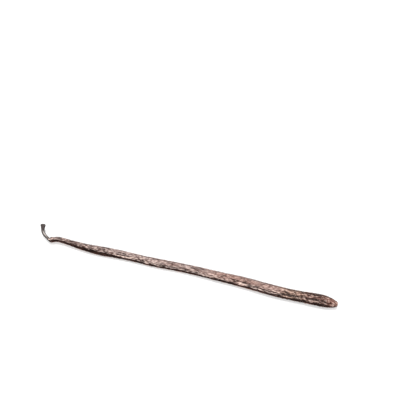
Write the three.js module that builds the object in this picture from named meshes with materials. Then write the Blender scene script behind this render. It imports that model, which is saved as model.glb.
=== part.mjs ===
// A cured vanilla pod lying on a flat surface, in millimetres, +Z up.
// It is one solid: a long, slightly flattened, furrowed body that is widest near its blunt
// blossom end, narrows to a neck, and ends in a thin stalk that curls into a hook.
// +X runs from the stalk towards the blossom end, and the stalk curls towards +Y.
// The origin is at the middle of the footprint, on the surface that the pod rests on.
// A place along the pod, called "at", is counted from the blossom end along the spine.
import * as THREE from "three";
import { mergeVertices } from "three/addons/utils/BufferGeometryUtils.js";

const { smoothstep, lerp, clamp, euclideanModulo } = THREE.MathUtils;
const turnOnce = 2 * Math.PI;

// Driving dimensions.
const podLength = 165.5; // along the spine, from the blossom scar to the cut end of the stalk
const width = { blossom: 6, middle: 4.8, neck: 2.7, stalk: 1.72, cutEnd: 2.9, scar: 1.7 };
const flatness = { body: 0.8, stalk: 0.96 }; // height of the section over its width
const place = {
  noseEnd: 9, // the blunt end is fully rounded out
  fullest: 34, // the body starts to slim down
  slim: 88, // the body has its middle width
  taperStart: 124, // the body starts to narrow to the neck
  fineRings: 149, // the rings get closer from here on
  neck: 154.9, // the swollen joint between body and stalk
  stalkStart: 156.2, // the stalk has its own thin width
};
const noseBluntness = 0.6; // a lower power makes the blossom end blunter
const shoulder = { share: 0.12, at: 9, reach: 7 }; // the fullest ring, just behind the nose
const swell = { share: 0.05, wave: 35, phase: 4.26, start: 84, end: 108 }; // uneven girth
const joint = { share: 0.08, reach: 0.9 }; // the small collar at the neck
const flareReach = 2; // the stalk widens over this length before its cut end

// The spine is nearly straight. It dips aside a little near the blossom end and more at the
// neck, and the stalk turns back and curls up.
const bends = [
  { turn: 0.031, wave: 110, phase: 5.23 },
  { turn: 0.017, wave: 45, phase: 0.52 },
  { turn: 0.034, wave: 36, phase: 1.36 },
];
const dips = [
  { turn: -0.03, at: 14, reach: 7 },
  { turn: -0.41, at: 153.4, reach: 2.6 },
];
const kink = { turn: 0.56, start: 155.3, end: 156.4 };
const curl = { turn: 0.78, start: 158.5, end: 163.7, rise: 1.6 };
const rest = { blossom: 2.14, middle: 1.8, neck: 2.3 }; // height of the spine over the surface
const spineStep = 0.25;

// The section: three soft lobes, cut by long furrows that wander along the pod.
const lobes = { count: 3, share: 0.03, phase: 0.7 };
const twist = { turn: 0.35, wave: 175, phase: 0.6 };
const furrowFade = 14; // length over which a furrow deepens from nothing
const furrows = [
  { angle: 0.3, depth: 0.1, spread: 0.2, start: -8, end: 118, sway: 0.1, wave: 61 },
  { angle: 1.05, depth: 0.055, spread: 0.16, start: 58, end: 150, sway: 0.12, wave: 47 },
  { angle: 1.75, depth: 0.07, spread: 0.17, start: -6, end: 66, sway: 0.14, wave: 39 },
  { angle: 2.45, depth: 0.05, spread: 0.15, start: 70, end: 156, sway: 0.1, wave: 53 },
  { angle: 2.8, depth: 0.1, spread: 0.18, start: 14, end: 72, sway: 0.12, wave: 44 },
  { angle: 3.5, depth: 0.13, spread: 0.22, start: -10, end: 152, sway: 0.1, wave: 67 },
  { angle: 4.35, depth: 0.08, spread: 0.2, start: 20, end: 140, sway: 0.12, wave: 58 },
  { angle: 5.1, depth: 0.09, spread: 0.2, start: -6, end: 90, sway: 0.1, wave: 49 },
  { angle: 5.65, depth: 0.12, spread: 0.2, start: 50, end: 158, sway: 0.12, wave: 63 },
];

// The ring of facets round the section, and the steps between rings.
const sides = 42;
const step = { nose: 0.32, body: 1.8, stalk: 0.5 };
const weldDistance = 1e-4;

// The two ends: rings that shrink to a dished middle. "share" is the share of the section's size.
const scar = { rim: 0.84, floor: 0.5, floorDepth: 0.36, depth: 0.42 };
const cut = { rim: 0.88, floor: 0.5, floorDepth: 0.12, depth: 0.2 };
const endRound = 0.12; // length over which an end's edge is rounded

function halfWidth(at) {
  const slimmed = lerp(width.blossom, width.middle, smoothstep(at, place.fullest, place.slim));
  const body = lerp(slimmed, width.neck, smoothstep(at, place.taperStart, place.neck));
  const bodyShare = 1 - smoothstep(at, place.neck, place.stalkStart);
  const swelling = swell.share * smoothstep(at, swell.start, swell.end) * bodyShare;
  const uneven = 1 + swelling * Math.sin((turnOnce * at) / swell.wave + swell.phase);
  const full = 1 + shoulder.share * Math.exp(-(((at - shoulder.at) / shoulder.reach) ** 2));
  const collar = 1 + joint.share * Math.exp(-(((at - place.neck) / joint.reach) ** 2));
  const flare = (width.cutEnd - width.stalk) * Math.exp(-(((podLength - at) / flareReach) ** 2));
  const whole = lerp(width.stalk + flare, body * uneven * full * collar, bodyShare);
  const toNose = clamp(at / place.noseEnd, 0, 1);
  const nose = (1 - (1 - toNose) ** 2) ** noseBluntness;
  return lerp(width.scar, whole, nose) / 2;
}

function halfHeight(at) {
  const towardsStalk = smoothstep(at, place.taperStart, place.stalkStart);
  return halfWidth(at) * lerp(flatness.body, flatness.stalk, towardsStalk);
}

function spineHeight(at) {
  const body = lerp(rest.blossom, rest.middle, smoothstep(at, place.fullest, place.slim));
  const lifted = lerp(body, rest.neck, smoothstep(at, place.taperStart, place.neck));
  return lifted + curl.rise * smoothstep(at, kink.start, podLength);
}

// The direction of the spine seen from above, as a turn away from -X towards +Y.
function planTurn(at) {
  let turn = 0;
  for (const bend of bends) {
    turn += bend.turn * Math.sin((turnOnce * at) / bend.wave + bend.phase);
  }
  for (const dip of dips) {
    turn += dip.turn * Math.exp(-(((at - dip.at) / dip.reach) ** 2));
  }
  turn += kink.turn * smoothstep(at, kink.start, kink.end);
  return turn + curl.turn * smoothstep(at, curl.start, curl.end);
}

// Walks along the pod from the blossom end towards -X and returns the spine as a smooth curve.
function makeSpine() {
  const points = [];
  const spot = new THREE.Vector3();
  for (let at = 0; at <= podLength; at += spineStep) {
    spot.z = spineHeight(at);
    points.push(spot.clone());
    const turn = planTurn(at + spineStep / 2);
    const climb = spineHeight(at + spineStep) - spot.z;
    const run = Math.sqrt(spineStep ** 2 - climb ** 2);
    spot.x -= run * Math.cos(turn);
    spot.y += run * Math.sin(turn);
  }
  return new THREE.CatmullRomCurve3(points);
}

// The smallest turn between two angles, from minus half a turn to half a turn.
function turnBetween(a, b) {
  return euclideanModulo(a - b + Math.PI, turnOnce) - Math.PI;
}

// How much of the section's size is left at an angle, after the lobes and the furrows.
function sectionShare(at, angle) {
  let share = 1 + lobes.share * Math.cos(lobes.count * angle + lobes.phase);
  for (const furrow of furrows) {
    const drift = furrow.sway * Math.sin((turnOnce * at) / furrow.wave + furrow.angle);
    const away = turnBetween(angle, furrow.angle + drift) / furrow.spread;
    const fadeIn = smoothstep(at, furrow.start, furrow.start + furrowFade);
    const fadeOut = 1 - smoothstep(at, furrow.end - furrowFade, furrow.end);
    share -= furrow.depth * fadeIn * fadeOut * Math.exp(-(away ** 2));
  }
  return share;
}

function ringStep(at) {
  if (at < place.noseEnd) return lerp(step.nose, step.body, at / place.noseEnd);
  return lerp(step.body, step.stalk, smoothstep(at, place.taperStart, place.fineRings));
}

// The outline that is turned into a closed tube: the share of the section against the place.
function tubeOutline() {
  const outline = [
    new THREE.Vector2(0, scar.depth),
    new THREE.Vector2(scar.floor, scar.floorDepth),
    new THREE.Vector2(scar.rim, 0),
  ];
  const lastRing = podLength - endRound;
  for (let at = endRound; at < lastRing - step.stalk / 2; at += ringStep(at)) {
    outline.push(new THREE.Vector2(1, at));
  }
  outline.push(
    new THREE.Vector2(1, lastRing),
    new THREE.Vector2(cut.rim, podLength),
    new THREE.Vector2(cut.floor, podLength - cut.floorDepth),
    new THREE.Vector2(0, podLength - cut.depth),
  );
  return outline;
}

// Bends the straight tube along the spine and gives each ring its own section.
function podGeometry() {
  const spine = makeSpine();
  const up = new THREE.Vector3(0, 0, 1);
  const tube = new THREE.LatheGeometry(tubeOutline(), sides);
  const position = tube.getAttribute("position");
  const vertex = new THREE.Vector3();
  for (let i = 0; i < position.count; i += 1) {
    vertex.fromBufferAttribute(position, i);
    const at = vertex.y;
    const size = Math.hypot(vertex.x, vertex.z);
    const column = Math.atan2(vertex.z, vertex.x);
    const angle = column + twist.turn * Math.sin((turnOnce * at) / twist.wave + twist.phase);
    const tangent = spine.getTangent(at / podLength);
    const side = new THREE.Vector3().crossVectors(tangent, up).normalize();
    const above = new THREE.Vector3().crossVectors(side, tangent);
    const reach = size * sectionShare(at, column);
    const spot = spine.getPoint(at / podLength);
    spot.addScaledVector(side, reach * halfWidth(at) * Math.cos(angle));
    spot.addScaledVector(above, reach * halfHeight(at) * Math.sin(angle));
    spot.z = Math.max(spot.z, 0); // the underside lies flat on the surface
    position.setXYZ(i, spot.x, spot.y, spot.z);
  }
  tube.deleteAttribute("normal");
  tube.deleteAttribute("uv");
  return mergeVertices(tube, weldDistance);
}

function makePod() {
  const geometry = podGeometry();
  geometry.computeBoundingBox();
  const middle = geometry.boundingBox.getCenter(new THREE.Vector3());
  geometry.translate(-middle.x, -middle.y, 0);
  geometry.computeVertexNormals();
  const skin = new THREE.MeshStandardMaterial({ color: 0x6b453a, roughness: 0.45, metalness: 0 });
  const pod = new THREE.Mesh(geometry, skin);
  pod.name = "pod";
  return pod;
}

const vanillaPod = new THREE.Group();
vanillaPod.add(makePod());

export default vanillaPod;
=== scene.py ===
# A cured vanilla pod on a pale floor, in metres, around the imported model.
# Geometry Nodes sweep the pod along its spine, furrow and wrinkle its skin, and close both ends.
# A place along the pod, called "at", is counted in millimetres from the blossom end along the spine.
import bpy
import math
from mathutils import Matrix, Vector


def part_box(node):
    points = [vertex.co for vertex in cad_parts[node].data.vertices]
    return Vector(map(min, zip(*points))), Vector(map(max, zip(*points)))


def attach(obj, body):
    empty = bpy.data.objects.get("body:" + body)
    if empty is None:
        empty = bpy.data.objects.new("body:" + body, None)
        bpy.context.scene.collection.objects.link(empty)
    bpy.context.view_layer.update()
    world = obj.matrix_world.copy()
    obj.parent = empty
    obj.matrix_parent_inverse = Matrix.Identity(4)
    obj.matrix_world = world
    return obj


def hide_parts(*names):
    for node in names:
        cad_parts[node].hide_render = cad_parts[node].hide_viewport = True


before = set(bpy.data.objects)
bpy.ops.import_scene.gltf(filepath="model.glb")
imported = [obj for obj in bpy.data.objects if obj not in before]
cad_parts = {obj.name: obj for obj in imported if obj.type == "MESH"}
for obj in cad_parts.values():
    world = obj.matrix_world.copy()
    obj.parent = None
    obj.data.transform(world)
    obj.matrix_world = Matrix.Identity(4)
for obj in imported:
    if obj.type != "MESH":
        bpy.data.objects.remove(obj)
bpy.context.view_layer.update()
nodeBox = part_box("pod")
mm = 0.001
fullTurn = 2 * math.pi
print("frame loaded, the pod's box is", [round(v / mm, 1) for v in nodeBox[1] - nodeBox[0]], "mm")


# Short helpers for node trees.

def setInput(tree, socket, value):
    if isinstance(value, bpy.types.NodeSocket):
        tree.links.new(value, socket)
    elif value is not None:
        socket.default_value = value


def addNode(tree, kind, inputs=None, **settings):
    node = tree.nodes.new(kind)
    for name, value in settings.items():
        setattr(node, name, value)
    for name, value in (inputs or {}).items():
        setInput(tree, node.inputs[name], value)
    return node


def calc(tree, operation, a, b=None, c=None):
    node = addNode(tree, "ShaderNodeMath", operation=operation)
    for socket, value in zip(node.inputs, (a, b, c)):
        setInput(tree, socket, value)
    return node.outputs[0]


def total(tree, values):
    result = values[0]
    for value in values[1:]:
        result = calc(tree, "ADD", result, value)
    return result


def product(tree, *values):
    result = values[0]
    for value in values[1:]:
        result = calc(tree, "MULTIPLY", result, value)
    return result


# A smooth rise between two values, or a fall where the first is the larger one.
def ramp(tree, value, start, full, low=0.0, high=1.0):
    limits = {"Value": value, "From Min": start, "From Max": full, "To Min": low, "To Max": high}
    return addNode(tree, "ShaderNodeMapRange", limits, interpolation_type="SMOOTHSTEP").outputs[0]


def wave(tree, at, length, phase, height=1.0):
    turn = calc(tree, "ADD", calc(tree, "DIVIDE", calc(tree, "MULTIPLY", at, fullTurn), length), phase)
    return calc(tree, "MULTIPLY", calc(tree, "SINE", turn), height)


def vector(tree, x, y, z):
    return addNode(tree, "ShaderNodeCombineXYZ", {"X": x, "Y": y, "Z": z}).outputs[0]


def scaled(tree, arrow, length):
    node = addNode(tree, "ShaderNodeVectorMath", operation="SCALE")
    setInput(tree, node.inputs[0], arrow)
    setInput(tree, node.inputs["Scale"], length)
    return node.outputs[0]


def noise(tree, place, seed, scale=1.0, detail=1.0, roughness=0.5, distortion=0.0, output=0):
    values = {"Vector": place, "W": seed, "Scale": scale, "Detail": detail, "Roughness": roughness,
              "Distortion": distortion}
    return addNode(tree, "ShaderNodeTexNoise", values, noise_dimensions="4D").outputs[output]


def addSocket(tree, name, kind, way="INPUT"):
    tree.interface.new_socket(name, in_out=way, socket_type=kind)


def named(tree, name, kind="FLOAT"):
    return addNode(tree, "GeometryNodeInputNamedAttribute", {"Name": name}, data_type=kind).outputs[0]


def store(tree, geometry, name, value, kind="FLOAT"):
    node = addNode(tree, "GeometryNodeStoreNamedAttribute", {"Geometry": geometry, "Name": name},
                   data_type=kind, domain="POINT")
    setInput(tree, node.inputs["Value"], value)
    return node.outputs[0]


# The pod's form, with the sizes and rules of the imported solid.

pod = {
    "length": 165.5,
    "width": {"blossom": 6, "middle": 4.8, "neck": 2.7, "stalk": 1.72, "cutEnd": 2.9, "scar": 1.7},
    "flatness": {"body": 0.8, "stalk": 0.96},
    "noseEnd": 9, "fullest": 34, "slim": 88, "taperStart": 124, "neck": 154.9, "stalkStart": 156.2,
    "noseBluntness": 0.6,
    "shoulder": {"share": 0.12, "at": 9, "reach": 7},
    "swell": {"share": 0.05, "wave": 35, "phase": 4.26, "start": 84, "end": 108},
    "joint": {"share": 0.08, "reach": 0.9},
    "flareReach": 2,
    "bends": [(0.031, 110, 5.23), (0.017, 45, 0.52), (0.034, 36, 1.36)],  # turn, wave, phase
    "dips": [(-0.03, 14, 7), (-0.41, 153.4, 2.6)],  # turn, at, reach
    "kink": {"turn": 0.56, "start": 155.3, "end": 156.4},
    "curl": {"turn": 0.78, "start": 158.5, "end": 163.7, "rise": 1.6},
    "rest": {"blossom": 2.14, "middle": 1.8, "neck": 2.3},
    "spineStep": 0.25,
    "lobes": {"count": 3, "share": 0.03, "phase": 0.7},
    "twist": {"turn": 0.35, "wave": 175, "phase": 0.6},
    "furrowFade": 14,
    "furrows": [  # angle, depth, spread, start, end, sway, wave
        (0.3, 0.1, 0.2, -8, 118, 0.1, 61),
        (1.05, 0.055, 0.16, 58, 150, 0.12, 47),
        (1.75, 0.07, 0.17, -6, 66, 0.14, 39),
        (2.45, 0.05, 0.15, 70, 156, 0.1, 53),
        (2.8, 0.1, 0.18, 14, 72, 0.12, 44),
        (3.5, 0.13, 0.22, -10, 152, 0.1, 67),
        (4.35, 0.08, 0.2, 20, 140, 0.12, 58),
        (5.1, 0.09, 0.2, -6, 90, 0.1, 49),
        (5.65, 0.12, 0.2, 50, 158, 0.12, 63),
    ],
    "scarRings": [(0, 0.42), (0.25, 0.41), (0.5, 0.36), (0.7, 0.2), (0.84, 0), (0.95, 0.03)],  # share, at
    "cutRings": [(0.95, -0.03), (0.88, 0), (0.7, -0.06), (0.5, -0.12), (0.25, -0.18), (0, -0.2)],
    "endRound": 0.12,  # length over which an end's edge is rounded
    "sides": 168,
    "ringStep": {"nose": 0.2, "body": 0.3, "stalk": 0.25},
    "fineRings": (147, 151),  # the rings get closer from the first place to the second
    "tangentReach": 0.2,
    "weldDistance": 1e-7,  # in metres
}


def smoothStep(value, low, high):
    share = min(max((value - low) / (high - low), 0), 1)
    return share * share * (3 - 2 * share)


def mix(a, b, share):
    return a + (b - a) * share


def halfWidth(at):
    width = pod["width"]
    slimmed = mix(width["blossom"], width["middle"], smoothStep(at, pod["fullest"], pod["slim"]))
    body = mix(slimmed, width["neck"], smoothStep(at, pod["taperStart"], pod["neck"]))
    bodyShare = 1 - smoothStep(at, pod["neck"], pod["stalkStart"])
    swell = pod["swell"]
    swelling = swell["share"] * smoothStep(at, swell["start"], swell["end"]) * bodyShare
    uneven = 1 + swelling * math.sin(fullTurn * at / swell["wave"] + swell["phase"])
    shoulder = pod["shoulder"]
    full = 1 + shoulder["share"] * math.exp(-((at - shoulder["at"]) / shoulder["reach"]) ** 2)
    collar = 1 + pod["joint"]["share"] * math.exp(-((at - pod["neck"]) / pod["joint"]["reach"]) ** 2)
    flare = (width["cutEnd"] - width["stalk"]) * math.exp(-((pod["length"] - at) / pod["flareReach"]) ** 2)
    whole = mix(width["stalk"] + flare, body * uneven * full * collar, bodyShare)
    toNose = min(max(at / pod["noseEnd"], 0), 1)
    nose = (1 - (1 - toNose) ** 2) ** pod["noseBluntness"]
    return mix(width["scar"], whole, nose) / 2


def halfHeight(at):
    towardsStalk = smoothStep(at, pod["taperStart"], pod["stalkStart"])
    return halfWidth(at) * mix(pod["flatness"]["body"], pod["flatness"]["stalk"], towardsStalk)


def spineHeight(at):
    rest = pod["rest"]
    body = mix(rest["blossom"], rest["middle"], smoothStep(at, pod["fullest"], pod["slim"]))
    lifted = mix(body, rest["neck"], smoothStep(at, pod["taperStart"], pod["neck"]))
    return lifted + pod["curl"]["rise"] * smoothStep(at, pod["kink"]["start"], pod["length"])


# The direction of the spine seen from above, as a turn away from -X towards +Y.
def planTurn(at):
    kink, curl = pod["kink"], pod["curl"]
    turn = sum(bend * math.sin(fullTurn * at / length + phase) for bend, length, phase in pod["bends"])
    turn += sum(dip * math.exp(-((at - centre) / reach) ** 2) for dip, centre, reach in pod["dips"])
    turn += kink["turn"] * smoothStep(at, kink["start"], kink["end"])
    return turn + curl["turn"] * smoothStep(at, curl["start"], curl["end"])


def makeSpine():
    step = pod["spineStep"]
    spot = Vector((0, 0, spineHeight(0)))
    points = [spot.copy()]
    for i in range(round(pod["length"] / step)):
        at = i * step
        climb = spineHeight(at + step) - spineHeight(at)
        run = math.sqrt(step ** 2 - climb ** 2)
        turn = planTurn(at + step / 2)
        spot = spot + Vector((-run * math.cos(turn), run * math.sin(turn), climb))
        points.append(spot.copy())
    return points


spine = makeSpine()


def spineAt(at):
    lastPlace = len(spine) - 1.001  # just short of the last point
    place = min(max(at / pod["spineStep"], 0), lastPlace)
    i = int(place)
    return spine[i].lerp(spine[i + 1], place - i)


# Each ring's share of the section's size, and its place along the pod.
def ringPlaces():
    step, length, at = pod["ringStep"], pod["length"], pod["endRound"]
    rings = list(pod["scarRings"])
    while at < length - step["stalk"]:
        rings.append((1, at))
        if at < pod["noseEnd"]:
            at += step["nose"]
        else:
            at += mix(step["body"], step["stalk"], smoothStep(at, *pod["fineRings"]))
    rings.append((1, length - pod["endRound"]))
    return rings + [(share, length + back) for share, back in pod["cutRings"]]


# The guide: one vertex for each ring, which carries the ring's place, size and two directions.
def makeGuide():
    rings = ringPlaces()
    reach = pod["tangentReach"]
    up = Vector((0, 0, 1))
    values = {
        "at": [at for share, at in rings],
        "share": [share for share, at in rings],
        "wide": [halfWidth(at) for share, at in rings],
        "high": [halfHeight(at) for share, at in rings],
    }
    vectors = {"centre": [], "sideways": [], "upward": []}
    for at in values["at"]:
        tangent = (spineAt(at + reach) - spineAt(at - reach)).normalized()
        side = tangent.cross(up).normalized()
        vectors["centre"].extend(spineAt(at))
        vectors["sideways"].extend(side)
        vectors["upward"].extend(side.cross(tangent))
    mesh = bpy.data.meshes.new("podGuide")
    # a straight line of vertices: the real places are in the attributes
    line = [(i * mm, 0, 0) for i in range(len(rings))]
    mesh.from_pydata(line, [(i, i + 1) for i in range(len(rings) - 1)], [])
    for name, numbers in values.items():
        mesh.attributes.new(name, "FLOAT", "POINT").data.foreach_set("value", numbers)
    for name, numbers in vectors.items():
        mesh.attributes.new(name, "FLOAT_VECTOR", "POINT").data.foreach_set("vector", numbers)
    guide = bpy.data.objects.new("vanillaPod", mesh)
    bpy.context.scene.collection.objects.link(guide)
    print("guide made of", len(rings), "rings")
    return guide


# The fine relief, in millimetres: what the pod's skin gets when it shrinks as it dries.
# A set of lines has its depth, how many fit across a millimetre, how long they are drawn out, how they
# wind round the pod, how narrow their floors are, and how much painted shade it lays in its creases.
skin = {
    "seed": 4.0,
    "furrowFloor": 0.7,  # how much deeper a furrow is along its narrow floor
    "floorSharpness": 7.0,
    "furrowShade": 3.0, "floorShade": 8.0,  # how much painted shade a furrow and its floor lay on the skin
    "meanBody": 0.17, "meanStalk": 0.06,  # the relief is laid round this depth, so the girth stays
    "bodyEnd": (154.0, 156.4),  # the body's relief gives way to the stalk's
    "fanStart": (3.0, 10.0), "fanEnd": (34.0, 24.0),  # the fan lies behind the blossom end
    "patch": {"scale": 1.6, "seed": 3.0, "limits": (0.42, 0.6)},  # the cross wrinkles come in patches
    "ends": (0.3, 1.0, 0.35, 1.0),  # the relief is flatter on the smaller rings of both ends
    "sideMiddle": 1.4,  # the angle "side" runs half a turn to either side of this
    "long": {"depth": 0.2, "size": 1.3, "stretch": 0.11, "helix": 0.015, "narrow": 0.11, "creaseShade": 0.5,
             "bendScale": 0.8, "drift": 0.6},
    "fine": {"depth": 0.12, "size": 2.2, "stretch": 0.12, "helix": -0.03, "narrow": 0.06, "creaseShade": 0.45,
             "detail": 1.0, "distortion": 0.3, "seed": 5.0},
    "cross": {"depth": 0.09, "size": 1.0, "stretch": 0.5, "helix": 0.2, "narrow": 0.035, "creaseShade": 0.3,
              "detail": 2.0, "distortion": 0.5, "seed": 7.0},
    "fan": {"depth": 0.15, "size": 1.0, "stretch": 0.08, "helix": 0.45, "narrow": 0.05, "creaseShade": 0.45,
            "detail": 1.0, "distortion": 0.0, "seed": 13.0},
    "fibre": {"depth": 0.09, "size": 1.9, "stretch": 0.03, "helix": 0.0, "narrow": 0.07, "creaseShade": 0.6,
              "detail": 1.0, "distortion": 0.0, "seed": 11.0},
    "lump": {"depth": 0.14, "size": 0.16, "stretch": 1.0, "helix": 0.0, "creaseShade": 0.0, "seed": 9.0},
}
reliefKinds = ("long", "fine", "cross", "fan", "fibre", "lump")


def depthName(kind):
    return kind.title() + " Depth"


# One long furrow: how deep the section is cut at a place and an angle, wide and soft with a sharp floor.
def makeFurrowTree():
    tree = bpy.data.node_groups.new("furrow", "GeometryNodeTree")
    for name in ("At", "Around", "Angle", "Depth", "Spread", "Start", "End", "Fade", "Sway", "Wave"):
        addSocket(tree, name, "NodeSocketFloat")
    for name in ("Cut", "Floor"):
        addSocket(tree, name, "NodeSocketFloat", "OUTPUT")
    given = addNode(tree, "NodeGroupInput").outputs
    at, fade = given["At"], given["Fade"]
    drift = calc(tree, "MULTIPLY", given["Sway"], wave(tree, at, given["Wave"], given["Angle"]))
    away = calc(tree, "SUBTRACT", calc(tree, "SUBTRACT", given["Around"], given["Angle"]), drift)
    away = calc(tree, "DIVIDE", calc(tree, "WRAP", away, math.pi, -math.pi), given["Spread"])
    square = calc(tree, "MULTIPLY", away, away)
    valley = calc(tree, "EXPONENT", calc(tree, "MULTIPLY", square, -1.0))
    floor = calc(tree, "EXPONENT", calc(tree, "MULTIPLY", square, -skin["floorSharpness"]))
    fadeIn = ramp(tree, at, given["Start"], calc(tree, "ADD", given["Start"], fade))
    fadeOut = ramp(tree, at, given["End"], calc(tree, "SUBTRACT", given["End"], fade))
    deep = product(tree, given["Depth"], fadeIn, fadeOut)
    parts = {"Cut": product(tree, deep, valley), "Floor": product(tree, deep, floor)}
    addNode(tree, "NodeGroupOutput", parts)
    return tree


# The sweep: a ring of points round each point of the guide, with its angle from 0 to a full turn.
def sweepTube(tree, given):
    guide = addNode(tree, "GeometryNodeMeshToCurve", {"Mesh": given["Geometry"]}).outputs[0]
    circle = {"Resolution": given["Sides"], "Radius": mm}
    ring = addNode(tree, "GeometryNodeCurvePrimitiveCircle", circle).outputs[0]
    index = addNode(tree, "GeometryNodeInputIndex").outputs[0]
    turn = calc(tree, "MULTIPLY", calc(tree, "DIVIDE", index, given["Sides"]), fullTurn)
    sweep = {"Curve": guide, "Profile Curve": store(tree, ring, "around", turn), "Fill Caps": False}
    return addNode(tree, "GeometryNodeCurveToMesh", sweep).outputs[0]


# How much of the section all the furrows cut away: their soft walls, and their narrow floors.
def furrowCuts(tree, furrowTree, fields, depth):
    names = ("Angle", "Depth", "Spread", "Start", "End", "Sway", "Wave")
    cuts, floors = [], []
    for values in pod["furrows"]:
        inputs = {"At": fields["at"], "Around": fields["around"], "Fade": pod["furrowFade"]}
        inputs.update(zip(names, values))
        furrow = addNode(tree, "GeometryNodeGroup", inputs, node_tree=furrowTree)
        cuts.append(furrow.outputs["Cut"])
        floors.append(furrow.outputs["Floor"])
    cut = product(tree, total(tree, cuts), depth)
    floor = product(tree, total(tree, floors), depth, skin["furrowFloor"])
    return cut, floor


# A place on the skin, in millimetres, as if the pod were unbent.
def unbentPlace(tree, turn, girth, along):
    x = calc(tree, "MULTIPLY", calc(tree, "COSINE", turn), girth)
    y = calc(tree, "MULTIPLY", calc(tree, "SINE", turn), girth)
    return vector(tree, x, y, along)


# The same, scaled for a set of lines. Its helix tilts the lines against the spine.
def linePlace(tree, fields, kind):
    turn = calc(tree, "ADD", fields["around"], calc(tree, "MULTIPLY", fields["at"], kind["helix"]))
    girth = calc(tree, "MULTIPLY", fields["wide"], kind["size"])
    along = calc(tree, "MULTIPLY", fields["at"], kind["size"] * kind["stretch"])
    return unbentPlace(tree, turn, girth, along)


# The main creases are the seams between long cells of skin, bent a little by noise.
def seams(tree, fields, kind, seed):
    place = linePlace(tree, fields, kind)
    bend = noise(tree, place, seed, scale=kind["bendScale"], output="Color")
    shift = addNode(tree, "ShaderNodeVectorMath", operation="MULTIPLY_ADD")
    drift = (kind["drift"],) * 3
    for socket, value in zip(shift.inputs, (bend, drift, place)):
        setInput(tree, socket, value)
    inputs = {"Vector": shift.outputs[0], "Scale": 1.0, "Randomness": 1.0}
    cells = addNode(tree, "ShaderNodeTexVoronoi", inputs, feature="DISTANCE_TO_EDGE",
                    voronoi_dimensions="3D")
    return calc(tree, "EXPONENT", calc(tree, "DIVIDE", cells.outputs["Distance"], -kind["narrow"]))


# A lesser wrinkle is sharpest where the noise passes through its middle value, and swells between.
def wrinkles(tree, fields, kind, seed):
    place = linePlace(tree, fields, kind)
    ownSeed = calc(tree, "ADD", seed, kind["seed"])
    value = noise(tree, place, ownSeed, detail=kind["detail"], distortion=kind["distortion"])
    off = calc(tree, "ABSOLUTE", calc(tree, "SUBTRACT", value, 0.5))
    return calc(tree, "EXPONENT", calc(tree, "DIVIDE", off, -kind["narrow"]))


# Each kind of relief from 0 to 1, and only where it belongs.
def reliefLines(tree, fields, seed):
    at = fields["at"]
    onBody = ramp(tree, at, *skin["bodyEnd"], 1.0, 0.0)
    onStalk = calc(tree, "SUBTRACT", 1.0, onBody)
    lumpPlace = linePlace(tree, fields, skin["lump"])
    patch = skin["patch"]
    patchNoise = noise(tree, lumpPlace, calc(tree, "ADD", seed, patch["seed"]), scale=patch["scale"])
    inPatch = ramp(tree, patchNoise, *patch["limits"])
    inFan = product(tree, ramp(tree, at, *skin["fanEnd"]), ramp(tree, at, *skin["fanStart"]))
    return {
        "long": product(tree, seams(tree, fields, skin["long"], seed), onBody),
        "fine": product(tree, wrinkles(tree, fields, skin["fine"], seed), onBody),
        "cross": product(tree, wrinkles(tree, fields, skin["cross"], seed), onBody, inPatch),
        "fan": product(tree, wrinkles(tree, fields, skin["fan"], seed), inFan),
        "fibre": product(tree, wrinkles(tree, fields, skin["fibre"], seed), onStalk),
        "lump": noise(tree, lumpPlace, calc(tree, "ADD", seed, skin["lump"]["seed"])),
    }


# A point's place in metres: out from the spine, sideways and upward, and flat where the pod rests.
def pointPlace(tree, across, above):
    place = named(tree, "centre", "FLOAT_VECTOR")
    for direction, distance in (("sideways", across), ("upward", above)):
        add = addNode(tree, "ShaderNodeVectorMath", operation="ADD")
        setInput(tree, add.inputs[0], place)
        setInput(tree, add.inputs[1], scaled(tree, named(tree, direction, "FLOAT_VECTOR"), distance))
        place = add.outputs[0]
    split = addNode(tree, "ShaderNodeSeparateXYZ", {"Vector": place}).outputs
    return scaled(tree, vector(tree, split["X"], split["Y"], calc(tree, "MAXIMUM", split["Z"], 0.0)), mm)


# Moves the points to their places, closes both ends, turns the faces outward and adds the skin.
def finishTube(tree, tube, material):
    position = named(tree, "place", "FLOAT_VECTOR")
    placed = addNode(tree, "GeometryNodeSetPosition", {"Geometry": tube, "Position": position}).outputs[0]
    weld = {"Geometry": placed, "Distance": pod["weldDistance"]}
    closed = addNode(tree, "GeometryNodeMergeByDistance", weld).outputs[0]
    outward = addNode(tree, "GeometryNodeFlipFaces", {"Mesh": closed}).outputs[0]
    smooth = addNode(tree, "GeometryNodeSetShadeSmooth", {"Geometry": outward}).outputs[0]
    return addNode(tree, "GeometryNodeSetMaterial", {"Geometry": smooth, "Material": material}).outputs[0]


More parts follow.
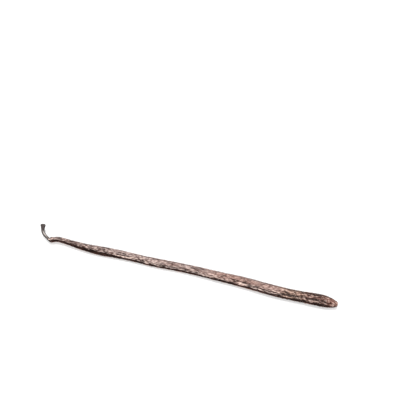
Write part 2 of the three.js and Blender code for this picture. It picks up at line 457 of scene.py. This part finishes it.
def makePodTree(furrowTree):
    tree = bpy.data.node_groups.new("vanillaPodSweep", "GeometryNodeTree")
    addSocket(tree, "Geometry", "NodeSocketGeometry")
    addSocket(tree, "Sides", "NodeSocketInt")
    for name in ("Seed", "Furrow Depth", *map(depthName, reliefKinds)):
        addSocket(tree, name, "NodeSocketFloat")
    addSocket(tree, "Skin", "NodeSocketMaterial")
    addSocket(tree, "Geometry", "NodeSocketGeometry", "OUTPUT")
    given = addNode(tree, "NodeGroupInput").outputs
    tube = sweepTube(tree, given)
    fields = {name: named(tree, name) for name in ("at", "around", "share", "wide", "high")}
    at, around, share = fields["at"], fields["around"], fields["share"]
    twist, lobes = pod["twist"], pod["lobes"]
    angle = calc(tree, "ADD", around, wave(tree, at, twist["wave"], twist["phase"], twist["turn"]))

    # the section: lobes, less the furrows, and the fine relief
    lobeTurn = calc(tree, "ADD", calc(tree, "MULTIPLY", around, lobes["count"]), lobes["phase"])
    lobe = calc(tree, "MULTIPLY", calc(tree, "COSINE", lobeTurn), lobes["share"])
    lobed = calc(tree, "ADD", lobe, 1.0)
    cut, floor = furrowCuts(tree, furrowTree, fields, given["Furrow Depth"])
    section = calc(tree, "SUBTRACT", calc(tree, "SUBTRACT", lobed, cut), floor)
    lines = reliefLines(tree, fields, given["Seed"])
    relief = total(tree, [product(tree, lines[kind], given[depthName(kind)]) for kind in reliefKinds])
    mean = ramp(tree, at, *skin["bodyEnd"], skin["meanBody"], skin["meanStalk"])
    relief = product(tree, calc(tree, "SUBTRACT", relief, mean), ramp(tree, share, *skin["ends"]))
    reachWide = calc(tree, "SUBTRACT", calc(tree, "MULTIPLY", fields["wide"], section), relief)
    reachHigh = calc(tree, "SUBTRACT", calc(tree, "MULTIPLY", fields["high"], section), relief)
    across = product(tree, share, reachWide, calc(tree, "COSINE", angle))
    above = product(tree, share, reachHigh, calc(tree, "SINE", angle))
    tube = store(tree, tube, "place", pointPlace(tree, across, above), "FLOAT_VECTOR")

    # what the colours read: how deep in a crease a point is, which sets the painted shade in the creases,
    # its place on the skin, and its angle round the section, counted from the back over the top to the
    # front
    creaseShades = [product(tree, cut, skin["furrowShade"]), product(tree, floor, skin["floorShade"])]
    creaseShades += [product(tree, lines[kind], skin[kind]["creaseShade"]) for kind in reliefKinds]
    tube = store(tree, tube, "crease", calc(tree, "MINIMUM", total(tree, creaseShades), 1.0))
    skinSpot = unbentPlace(tree, around, calc(tree, "MULTIPLY", fields["wide"], share), at)
    tube = store(tree, tube, "skinSpot", skinSpot, "FLOAT_VECTOR")
    middle = skin["sideMiddle"]
    tube = store(tree, tube, "side", calc(tree, "WRAP", angle, middle + math.pi, middle - math.pi))
    addNode(tree, "NodeGroupOutput", {"Geometry": finishTube(tree, tube, given["Skin"])})
    return tree


# The pod's colours.

def makeMaterial(name):
    material = bpy.data.materials.new(name)
    material.use_nodes = True
    tree = material.node_tree
    tree.nodes.clear()
    shader = addNode(tree, "ShaderNodeBsdfPrincipled")
    addNode(tree, "ShaderNodeOutputMaterial", {"Surface": shader.outputs[0]})
    return material, shader


def srgb(*levels):
    shares = [level / 255 for level in levels]
    return (*[s / 12.92 if s <= 0.04045 else ((s + 0.055) / 1.055) ** 2.4 for s in shares], 1.0)


def blend(tree, share, a, b):
    node = addNode(tree, "ShaderNodeMix", data_type="RGBA")
    shareSocket, firstColour, secondColour = node.inputs[0], node.inputs[6], node.inputs[7]
    for socket, value in ((shareSocket, share), (firstColour, a), (secondColour, b)):
        setInput(tree, socket, value)
    return node.outputs[2]


podSkin = {
    "brown": srgb(163, 128, 118),
    "mauve": srgb(166, 148, 144),
    "ochre": srgb(206, 169, 145),
    "red": srgb(128, 84, 71),
    "neck": srgb(106, 87, 83),
    "dark": srgb(76, 46, 37),
    # painted shade in the creases, almost black
    "crease": srgb(20, 9, 6),
    # painted highlight: the sheen on the ridges
    "highlight": srgb(224, 198, 186),
    "shadeBand": srgb(26, 13, 9),  # painted shade: a near-black band along each flank, where the underside turns away from the light
    "belly": srgb(130, 96, 85),  # below the painted shade bands: a darker brown underside, a milder painted shade
    "stalk": srgb(90, 82, 79),
    "stalkHighlight": srgb(200, 193, 189),
    # the painted shade band's colour on the stalk
    "stalkShade": srgb(28, 21, 19),
    "tip": srgb(68, 62, 61),
    "cut": srgb(84, 74, 69),
    "pore": srgb(36, 29, 27),
    "sheen": (1.0, 0.84, 0.77, 1.0),
    "gloss": 0.24, "dullGloss": 0.05, "coat": 0.05, "coatRoughness": 0.2,
    "roughness": 0.36, "creaseRougher": 0.18, "stalkRougher": 0.12, "shadeBandRougher": 0.25,
    "bumpStrength": 0.55, "bumpDistance": 0.00012, "bumpShares": {"fine": 0.6, "grain": 0.4},
    "topAngle": 1.3,  # the middle of the lit top between the two painted shade bands
    "clearOfCrease": (0.6, 0.2), "inCrease": (0.25, 0.9), "creaseStrength": 0.95,
    "cutShare": (0.97, 0.85),
    "pores": {"scale": 4.5, "detail": 2.0, "roughness": 0.6, "seed": 20.0, "limits": (0.42, 0.58)},
    # a noise: how fast it changes along and across the pod, its detail, roughness, distortion and seed
    "noises": {
        "broad": (0.05, 0.25, 2.0, 0.5, 0.0, 1.0),
        "streak": (0.22, 1.4, 3.0, 0.6, 0.4, 2.0),
        "dash": (0.26, 1.7, 1.0, 0.5, 0.3, 8.0),
        "mottle": (0.7, 1.5, 1.0, 0.5, 0.2, 15.0),
        "fine": (0.7, 2.4, 3.0, 0.65, 0.3, 3.0),
        "grain": (1.4, 4.5, 3.0, 0.6, 0.2, 6.0),
    },
    # a mark: its noise, where on that noise it starts and is full, and its strength at both
    "marks": {
        "grey": ("broad", 0.38, 0.62),
        "red": ("streak", 0.3, 0.6, 0.45, 1.0),
        "darkStreak": ("streak", 0.54, 0.74, 0.0, 0.25),
        "darkDash": ("dash", 0.45, 0.41, 0.0, 0.85),
        "highlightDash": ("dash", 0.52, 0.56),
        "highlightLineDash": ("dash", 0.43, 0.5, 0.0, 0.85),
        "pit": ("fine", 0.46, 0.36, 0.0, 0.4),
        "darkSpeckle": ("mottle", 0.48, 0.39, 0.0, 0.5),
        "highlightSpeckle": ("mottle", 0.52, 0.63, 0.0, 0.36),
        "shadeBandDash": ("dash", 0.5, 0.62, 0.0, 0.5),
        "bellyDash": ("dash", 0.52, 0.44, 0.0, 0.8),
        "bellySpeckle": ("mottle", 0.54, 0.62, 0.0, 0.35),
        "highlightLineSway": ("streak", 0.3, 0.7, -0.14, 0.14),
        "shadeBandSway": ("streak", 0.3, 0.7, -0.1, 0.1),
        "shadeBandTeeth": ("dash", 0.35, 0.65, 0.09, -0.09),
        "bellySway": ("streak", 0.3, 0.7, 0.2, -0.2),
        "rougher": ("fine", 0.3, 0.7, -0.08, 0.1),
    },
    # along the pod: the places where something starts and is full, and its strength at both
    "along": {
        "grey": (82, 102, 0.0, 0.9),
        "ochreStart": (13, 19, 0.0, 0.6), "ochreEnd": (33, 25),
        "red": (30, 8),
        "neck": (112, 146, 0.0, 0.75),
        "highlightDash": (2, 18, 0.3, 0.9),
        "highlightLineStart": (4, 30, 0.2, 1.0), "highlightLineEnd": (128, 112),
        "speckleNose": (36, 20, 1.0, 1.4), "speckleNeck": (80, 118, 1.0, 1.6),
        "shadeBandWider": (112, 128, 0.0, 0.3),
        "stalk": (154.6, 156.2),
        "jointHighlightStart": (154.9, 155.6), "jointHighlightEnd": (156.5, 155.8),
        "stalkHighlight": (157, 159.5, 0.0, 0.85),
        "tip": (160.5, 162.5),
        "cutEnd": (150, 160),
    },
    # round the section: the angles where something starts and is full, and its strength at both
    "round": {
        "front": (1.5, 2.3, 0.35, 1.0),
        "highlightLineUpper": (2.0, 2.12), "highlightLineLower": (2.34, 2.22),
        "stalkHighlightBack": (0.8, 1.3), "stalkHighlightFront": (1.9, 1.5),
        "jointHighlightUpper": (1.5, 1.9), "jointHighlightLower": (2.6, 2.3),
        "shadeBand": (1.18, 1.3), "belly": (1.65, 2.05),  # counted from the top to either side
    },
}


def attribute(tree, name, output="Fac"):
    return addNode(tree, "ShaderNodeAttribute", attribute_name=name).outputs[output]


def skinNoise(tree, spot, along, across, detail, roughness, distortion, seed):
    stretched = addNode(tree, "ShaderNodeMapping", {"Vector": spot, "Scale": (across, across, along)})
    return noise(tree, stretched.outputs[0], seed, 1.0, detail, roughness, distortion)


def makeSkin():
    material, shader = makeMaterial("podSkin")
    tree = material.node_tree
    at, side = attribute(tree, "at"), attribute(tree, "side")
    crease, share = attribute(tree, "crease"), attribute(tree, "share")
    spot = attribute(tree, "skinSpot", "Vector")
    noises = {name: skinNoise(tree, spot, *values) for name, values in podSkin["noises"].items()}

    def mark(name):
        pattern, *limits = podSkin["marks"][name]
        return ramp(tree, noises[pattern], *limits)

    def along(name):
        return ramp(tree, at, *podSkin["along"][name])

    def turned(name, angle=side):
        return ramp(tree, angle, *podSkin["round"][name])

    def paint(colour, strength, name):
        return blend(tree, strength, colour, podSkin[name])

    # brown, greyer in patches and towards the neck, light behind the blossom end and red on it
    colour = paint(podSkin["brown"], calc(tree, "MAXIMUM", mark("grey"), along("grey")), "mauve")
    colour = paint(colour, product(tree, along("ochreEnd"), along("ochreStart")), "ochre")
    colour = paint(colour, product(tree, along("red"), mark("red")), "red")
    colour = paint(colour, along("neck"), "neck")
    colour = paint(colour, mark("darkStreak"), "dark")

    # dark dashes, and painted highlight dashes clear of the creases, the most of them on the front just
    # above the painted shade band
    colour = paint(colour, product(tree, mark("darkDash"), turned("front")), "dark")
    clear = ramp(tree, crease, *podSkin["clearOfCrease"])
    highlightDash = product(tree, clear, mark("highlightDash"), turned("front"), along("highlightDash"))
    colour = paint(colour, highlightDash, "highlight")

    # a thin painted highlight line runs beside the painted shade band, broken into dashes
    highlightLineSide = calc(tree, "ADD", side, mark("highlightLineSway"))
    edge = product(tree, turned("highlightLineUpper", highlightLineSide), turned("highlightLineLower", highlightLineSide))
    edge = product(tree, edge, mark("highlightLineDash"), along("highlightLineEnd"), along("highlightLineStart"))
    colour = paint(colour, edge, "highlight")

    # pits and speckles, and painted highlight speckles, the speckles stronger towards the neck and at the
    # blossom end
    strength = calc(tree, "MAXIMUM", along("speckleNeck"), along("speckleNose"))
    colour = paint(colour, mark("pit"), "dark")
    colour = paint(colour, product(tree, mark("darkSpeckle"), strength), "dark")
    colour = paint(colour, product(tree, mark("highlightSpeckle"), strength), "highlight")

    # the stalk is grey brown, with a painted highlight along its top and a dark tip
    onStalk = along("stalk")
    stalkHighlight = product(tree, turned("stalkHighlightBack"), turned("stalkHighlightFront"), along("stalkHighlight"))
    stalk = paint(podSkin["stalk"], stalkHighlight, "stalkHighlight")
    stalk = paint(stalk, along("tip"), "tip")
    colour = blend(tree, onStalk, colour, stalk)

    # a painted highlight spot on the joint
    jointHighlight = product(tree, along("jointHighlightStart"), along("jointHighlightEnd"))
    jointHighlight = product(tree, jointHighlight, turned("jointHighlightUpper"), turned("jointHighlightLower"))
    colour = paint(colour, jointHighlight, "highlight")

    # each flank has a painted shade band with a wandering edge, wider towards the neck, and below it a
    # darker brown belly, a milder painted shade; on the stalk the band is a dark grey painted shade
    fromTop = calc(tree, "ABSOLUTE", calc(tree, "SUBTRACT", side, podSkin["topAngle"]))
    shadeBandAngle = total(tree, [fromTop, mark("shadeBandSway"), mark("shadeBandTeeth"), along("shadeBandWider")])
    inShadeBand = turned("shadeBand", shadeBandAngle)
    belly = paint(podSkin["belly"], mark("bellyDash"), "dark")
    belly = paint(belly, mark("bellySpeckle"), "brown")
    shadeBand = paint(podSkin["shadeBand"], mark("shadeBandDash"), "dark")
    shadeBand = blend(tree, turned("belly", calc(tree, "ADD", fromTop, mark("bellySway"))), shadeBand, belly)
    shadeBand = paint(shadeBand, onStalk, "stalkShade")
    colour = blend(tree, inShadeBand, colour, shadeBand)

    # painted shade makes the creases almost black, and the pores in the cut end are almost black too
    inCrease = ramp(tree, crease, *podSkin["inCrease"])
    colour = paint(colour, calc(tree, "MULTIPLY", inCrease, podSkin["creaseStrength"]), "crease")
    pores = podSkin["pores"]
    poreNoise = noise(tree, spot, pores["seed"], pores["scale"], pores["detail"], pores["roughness"])
    cut = paint(podSkin["pore"], ramp(tree, poreNoise, *pores["limits"]), "cut")
    onCut = product(tree, ramp(tree, share, *podSkin["cutShare"]), along("cutEnd"))
    colour = blend(tree, onCut, colour, cut)
    setInput(tree, shader.inputs["Base Color"], colour)

    # the painted shade band and the creases are rougher and shine less than the rest
    rough = total(tree, [
        calc(tree, "ADD", podSkin["roughness"], mark("rougher")),
        calc(tree, "MULTIPLY", crease, podSkin["creaseRougher"]),
        calc(tree, "MULTIPLY", onStalk, podSkin["stalkRougher"]),
        calc(tree, "MULTIPLY", inShadeBand, podSkin["shadeBandRougher"]),
    ])
    setInput(tree, shader.inputs["Roughness"], rough)
    dull = calc(tree, "MAXIMUM", inShadeBand, inCrease)
    gloss = ramp(tree, dull, 0.0, 1.0, podSkin["gloss"], podSkin["dullGloss"])
    setInput(tree, shader.inputs["Specular IOR Level"], gloss)
    shader.inputs["Specular Tint"].default_value = podSkin["sheen"]
    shader.inputs["Coat Weight"].default_value = podSkin["coat"]
    shader.inputs["Coat Roughness"].default_value = podSkin["coatRoughness"]

    bumpShares = podSkin["bumpShares"].items()
    height = total(tree, [calc(tree, "MULTIPLY", noises[name], part) for name, part in bumpShares])
    bump = {"Strength": podSkin["bumpStrength"], "Distance": podSkin["bumpDistance"], "Height": height}
    setInput(tree, shader.inputs["Normal"], addNode(tree, "ShaderNodeBump", bump).outputs[0])
    return material


# The guide's sweep gets its values and becomes a plain mesh.
def makePod():
    guide = makeGuide()
    tree = makePodTree(makeFurrowTree())
    modifier = guide.modifiers.new("sweep", "NODES")
    modifier.node_group = tree
    values = {"Sides": pod["sides"], "Furrow Depth": 1.0, "Seed": skin["seed"], "Skin": makeSkin()}
    values.update({depthName(kind): skin[kind]["depth"] for kind in reliefKinds})
    for item in tree.interface.items_tree:
        if item.item_type == "SOCKET" and item.in_out == "INPUT" and item.name in values:
            modifier[item.identifier] = values[item.name]
    bpy.context.view_layer.update()
    evaluated = guide.evaluated_get(bpy.context.evaluated_depsgraph_get())
    mesh = bpy.data.meshes.new_from_object(evaluated)
    mesh.name = "vanillaPod"
    guide.modifiers.remove(modifier)
    guide.data = mesh
    return guide


# Moves a piece's vertices so that its footprint is centred on a box's.
def centreOn(piece, box):
    middle = (box[0] + box[1]) / 2
    xs = [v.co.x for v in piece.data.vertices]
    ys = [v.co.y for v in piece.data.vertices]
    shift = Vector((middle.x - (min(xs) + max(xs)) / 2, middle.y - (min(ys) + max(ys)) / 2, 0))
    for v in piece.data.vertices:
        v.co += shift


vanillaPod = makePod()
centreOn(vanillaPod, nodeBox)
triangles = sum(len(p.vertices) - 2 for p in vanillaPod.data.polygons)
print("pod made:", len(vanillaPod.data.vertices), "vertices,", triangles, "triangles")
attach(vanillaPod, "root")
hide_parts("pod")


# Floor, light and camera.

studio = {
    "floorSize": 3.0, "floorColor": (0.9, 0.9, 0.9, 1.0), "floorRoughness": 0.7, "floorGloss": 0.2,
    "worldColor": (1.0, 1.0, 1.0, 1.0), "worldStrength": 0.72,
    "lights": [  # name, place, size, power
        ("keyLight", (-0.15, 0.3, 1.0), 0.5, 7.2),
        ("frontFill", (0.25, -0.75, 0.75), 0.8, 7.8),
    ],
    "azimuth": 14.5, "elevation": 60.0, "distance": 0.518, "lens": 85.0, "sensor": 36.0, "clipStart": 0.01,
    "target": (-0.003, 0.0424, 0.0),
}


def makeFloor():
    half = studio["floorSize"] / 2
    corners = [(-half, -half, 0), (half, -half, 0), (half, half, 0), (-half, half, 0)]
    mesh = bpy.data.meshes.new("floor")
    mesh.from_pydata(corners, [], [(0, 1, 2, 3)])
    floor = bpy.data.objects.new("floor", mesh)
    bpy.context.scene.collection.objects.link(floor)
    material, shader = makeMaterial("paleFloor")
    shader.inputs["Base Color"].default_value = studio["floorColor"]
    shader.inputs["Roughness"].default_value = studio["floorRoughness"]
    shader.inputs["Specular IOR Level"].default_value = studio["floorGloss"]
    mesh.materials.append(material)


def makeLights():
    world = bpy.data.worlds.new("studio")
    bpy.context.scene.world = world
    world.use_nodes = True
    world.node_tree.nodes.clear()
    background = addNode(world.node_tree, "ShaderNodeBackground",
                         {"Color": studio["worldColor"], "Strength": studio["worldStrength"]})
    addNode(world.node_tree, "ShaderNodeOutputWorld", {"Surface": background.outputs[0]})
    for name, place, size, power in studio["lights"]:
        data = bpy.data.lights.new(name, "AREA")
        data.shape = "SQUARE"
        data.size = size
        data.energy = power
        lamp = bpy.data.objects.new(name, data)
        lamp.location = place
        lamp.rotation_euler = (-Vector(place)).to_track_quat("-Z", "Y").to_euler()
        bpy.context.scene.collection.objects.link(lamp)


def makeCamera():
    azimuth, elevation = math.radians(studio["azimuth"]), math.radians(studio["elevation"])
    level = math.cos(elevation)
    back = Vector((math.sin(azimuth) * level, -math.cos(azimuth) * level, math.sin(elevation)))
    data = bpy.data.cameras.new("camera")
    data.lens = studio["lens"]
    data.sensor_width = studio["sensor"]
    data.clip_start = studio["clipStart"]
    camera = bpy.data.objects.new("camera", data)
    camera.location = Vector(studio["target"]) + back * studio["distance"]
    camera.rotation_euler = (-back).to_track_quat("-Z", "Y").to_euler()
    bpy.context.scene.collection.objects.link(camera)
    bpy.context.scene.camera = camera


makeFloor()
makeLights()
makeCamera()
bpy.context.scene.view_settings.view_transform = "Standard"
print("floor, lights and camera made")
